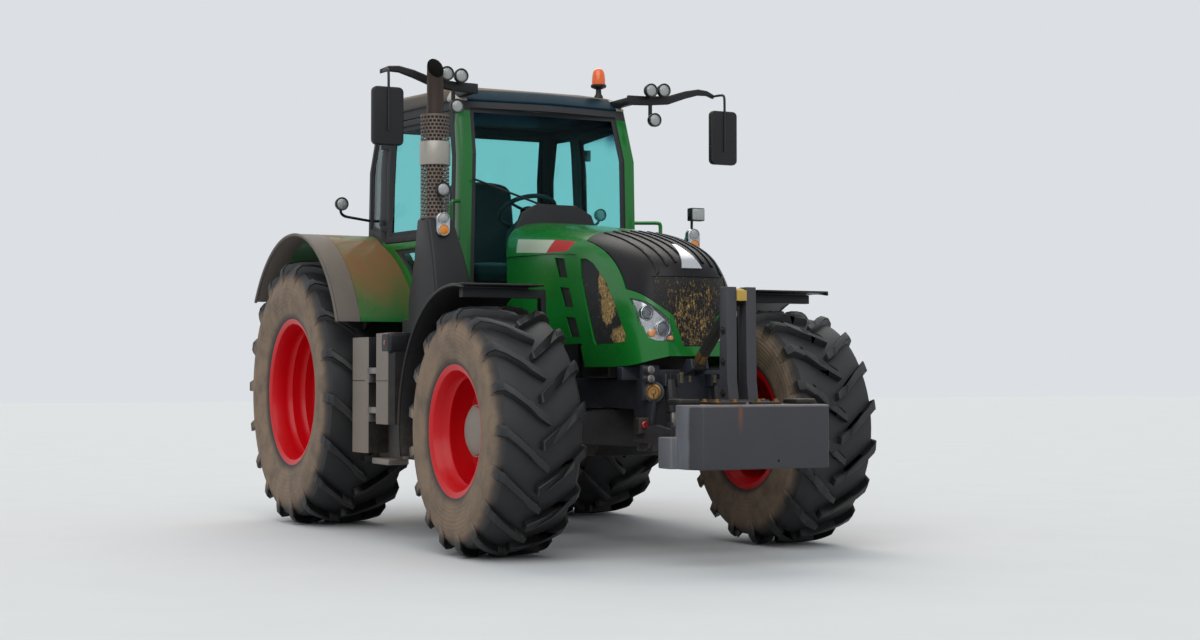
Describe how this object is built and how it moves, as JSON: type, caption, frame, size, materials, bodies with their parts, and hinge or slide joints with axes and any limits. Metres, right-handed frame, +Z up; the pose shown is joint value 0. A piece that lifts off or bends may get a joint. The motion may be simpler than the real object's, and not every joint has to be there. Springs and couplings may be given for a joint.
{
  "type": "farm tractor",
  "caption": "Large wheeled farm tractor with closed cab, hinged bonnet, steered front wheels, front lift with ballast block and rear three-point linkage.",
  "frame": {"origin": "on the ground, below the middle of the overall length and width", "axes": "+Z up, the tractor looks along -Y, its left side is +X"},
  "size_m": [2.61, 5.315, 3.118],
  "materials": {
    "body_green": "glossy green paint with dust",
    "chassis_dark": "dark grey painted castings",
    "rim_red": "glossy red paint",
    "tyre_black": "black rubber, dusty sidewalls",
    "cab_tint": "tinted safety glass",
    "plastic_black": "black plastic with dust",
    "plastic_grey": "grey plastic with dust",
    "seat_cloth": "dark seat cloth",
    "ballast_grey": "dark grey paint with rust streaks",
    "exhaust_steel": "heat-browned steel",
    "lamp_chrome": "chrome reflectors",
    "beacon_orange": "orange lens",
    "steel_bright": "machined steel"
  },
  "bodies": {
    "chassis": {"transmission": "chassis_dark", "engine": "chassis_dark", "front_frame": "chassis_dark", "radiator": "chassis_dark", "rear_axle": "chassis_dark", "front_axle": "chassis_dark", "rear_fenders": "body_green", "cab_frame": "body_green", "cab_glass": "cab_tint", "cab_roof": "plastic_grey", "cowl": "plastic_black", "tanks": "plastic_black", "steps": "plastic_grey", "exhaust": "exhaust_steel", "seat_pedestal": "plastic_black", "seat_cushion": "seat_cloth", "dashboard": "plastic_black", "steering_wheel": "plastic_black", "roof_arms": "plastic_black", "work_lamps": "plastic_black", "beacon": "beacon_orange", "front_hitch_frame": "chassis_dark", "rear_hitch": "chassis_dark", "road_lamps": "plastic_black", "grab_rails": "body_green"},
    "bonnet": {"bonnet": "body_green", "nose_grille": "plastic_black", "headlamps": "lamp_chrome", "side_grilles": "plastic_black"},
    "left_knuckle": {"left_knuckle": "chassis_dark", "left_front_fender": "plastic_black"},
    "right_knuckle": {"right_knuckle": "chassis_dark", "right_front_fender": "plastic_black"},
    "left_front_wheel": {"left_front_rim": "rim_red", "left_front_tyre": "tyre_black"},
    "right_front_wheel": {"right_front_rim": "rim_red", "right_front_tyre": "tyre_black"},
    "left_rear_wheel": {"left_rear_rim": "rim_red", "left_rear_tyre": "tyre_black"},
    "right_rear_wheel": {"right_rear_rim": "rim_red", "right_rear_tyre": "tyre_black"},
    "left_door": {"left_door": "body_green", "left_door_glass": "cab_tint"},
    "right_door": {"right_door": "body_green", "right_door_glass": "cab_tint"},
    "front_arms": {"front_lift_arms": "chassis_dark"},
    "ballast": {"ballast": "ballast_grey"},
    "front_top_link": {"front_top_link": "steel_bright"},
    "front_cylinders": {"front_cylinders": "chassis_dark"},
    "front_rods": {"front_rods": "steel_bright"},
    "lift_arms": {"lift_arms": "chassis_dark"},
    "lift_rods": {"lift_rods": "chassis_dark"},
    "lower_links": {"lower_links": "chassis_dark"},
    "rear_top_link": {"rear_top_link": "steel_bright"}
  },
  "joints": [
    {"name": "left_front_wheel_spin", "type": "hinge", "parent": "left_knuckle", "child": "left_front_wheel", "pos_m": [0.96, -1.2755, 0.712], "axis": [1, 0, 0], "continuous": true},
    {"name": "right_front_wheel_spin", "type": "hinge", "parent": "right_knuckle", "child": "right_front_wheel", "pos_m": [-0.96, -1.2755, 0.712], "axis": [1, 0, 0], "continuous": true},
    {"name": "left_rear_wheel_spin", "type": "hinge", "parent": "chassis", "child": "left_rear_wheel", "pos_m": [0.975, 1.5075, 0.912], "axis": [1, 0, 0], "continuous": true},
    {"name": "right_rear_wheel_spin", "type": "hinge", "parent": "chassis", "child": "right_rear_wheel", "pos_m": [-0.975, 1.5075, 0.912], "axis": [1, 0, 0], "continuous": true},
    {"name": "left_steer", "type": "hinge", "parent": "chassis", "child": "left_knuckle", "pos_m": [0.748, -1.2755, 0.712], "axis": [0, 0, 1], "range_deg": [-35, 35]},
    {"name": "right_steer", "type": "hinge", "parent": "chassis", "child": "right_knuckle", "pos_m": [-0.748, -1.2755, 0.712], "axis": [0, 0, 1], "range_deg": [-35, 35]},
    {"name": "left_door_hinge", "type": "hinge", "parent": "chassis", "child": "left_door", "pos_m": [0.79, 0.9665, 2.3], "axis": [0, 0, 1], "range_deg": [0, 80]},
    {"name": "right_door_hinge", "type": "hinge", "parent": "chassis", "child": "right_door", "pos_m": [-0.79, 0.9665, 2.3], "axis": [0, 0, -1], "range_deg": [0, 80]},
    {"name": "bonnet_hinge", "type": "hinge", "parent": "chassis", "child": "bonnet", "pos_m": [0, -0.1375, 2.015], "axis": [-1, 0, 0], "range_deg": [0, 50]},
    {"name": "front_arm_lift", "type": "hinge", "parent": "chassis", "child": "front_arms", "pos_m": [0, -1.7625, 0.69], "axis": [-1, 0, 0], "range_deg": [-20, 15]},
    {"name": "ballast_tilt", "type": "hinge", "parent": "front_arms", "child": "ballast", "pos_m": [0, -2.2325, 0.69], "axis": [-1, 0, 0], "range_deg": [-6, 8]},
    {"name": "front_top_link_tilt", "type": "hinge", "parent": "chassis", "child": "front_top_link", "pos_m": [0, -1.9225, 1.085], "axis": [-1, 0, 0], "range_deg": [-25, 19]},
    {"name": "front_cylinder_tilt", "type": "hinge", "parent": "chassis", "child": "front_cylinders", "pos_m": [0, -1.8775, 1], "axis": [-1, 0, 0], "range_deg": [-2, 3]},
    {"name": "front_rod_slide", "type": "slide", "parent": "front_cylinders", "child": "front_rods", "axis": [0, -0.1718, -0.9851], "range_m": [-0.044, 0.059]},
    {"name": "lift_arm_lift", "type": "hinge", "parent": "chassis", "child": "lift_arms", "pos_m": [0, 1.7075, 1.1], "axis": [1, 0, 0], "range_deg": [-30, 45]},
    {"name": "lift_rod_swing", "type": "hinge", "parent": "lift_arms", "child": "lift_rods", "pos_m": [0, 2.0075, 1.2], "axis": [1, 0, 0], "range_deg": [-38, 26]},
    {"name": "lower_link_swing", "type": "hinge", "parent": "chassis", "child": "lower_links", "pos_m": [0, 1.6875, 0.56], "axis": [1, 0, 0], "range_deg": [-20, 30]},
    {"name": "rear_top_link_swing", "type": "hinge", "parent": "chassis", "child": "rear_top_link", "pos_m": [0, 1.8975, 1], "axis": [1, 0, 0], "range_deg": [-25, 45]}
  ],
  "couplings": [
    {"joint": "right_steer", "follows": "left_steer", "ratio": 1},
    {"joint": "ballast_tilt", "follows": "front_arm_lift", "ratio": -0.38},
    {"joint": "front_top_link_tilt", "follows": "front_arm_lift", "ratio": 1.2},
    {"joint": "front_cylinder_tilt", "follows": "front_arm_lift", "ratio": -0.1},
    {"joint": "front_rod_slide", "follows": "front_arm_lift", "m_per_rad": -0.164},
    {"joint": "lower_link_swing", "follows": "lift_arm_lift", "ratio": 0.65},
    {"joint": "lift_rod_swing", "follows": "lift_arm_lift", "ratio": -0.84}
  ]
}
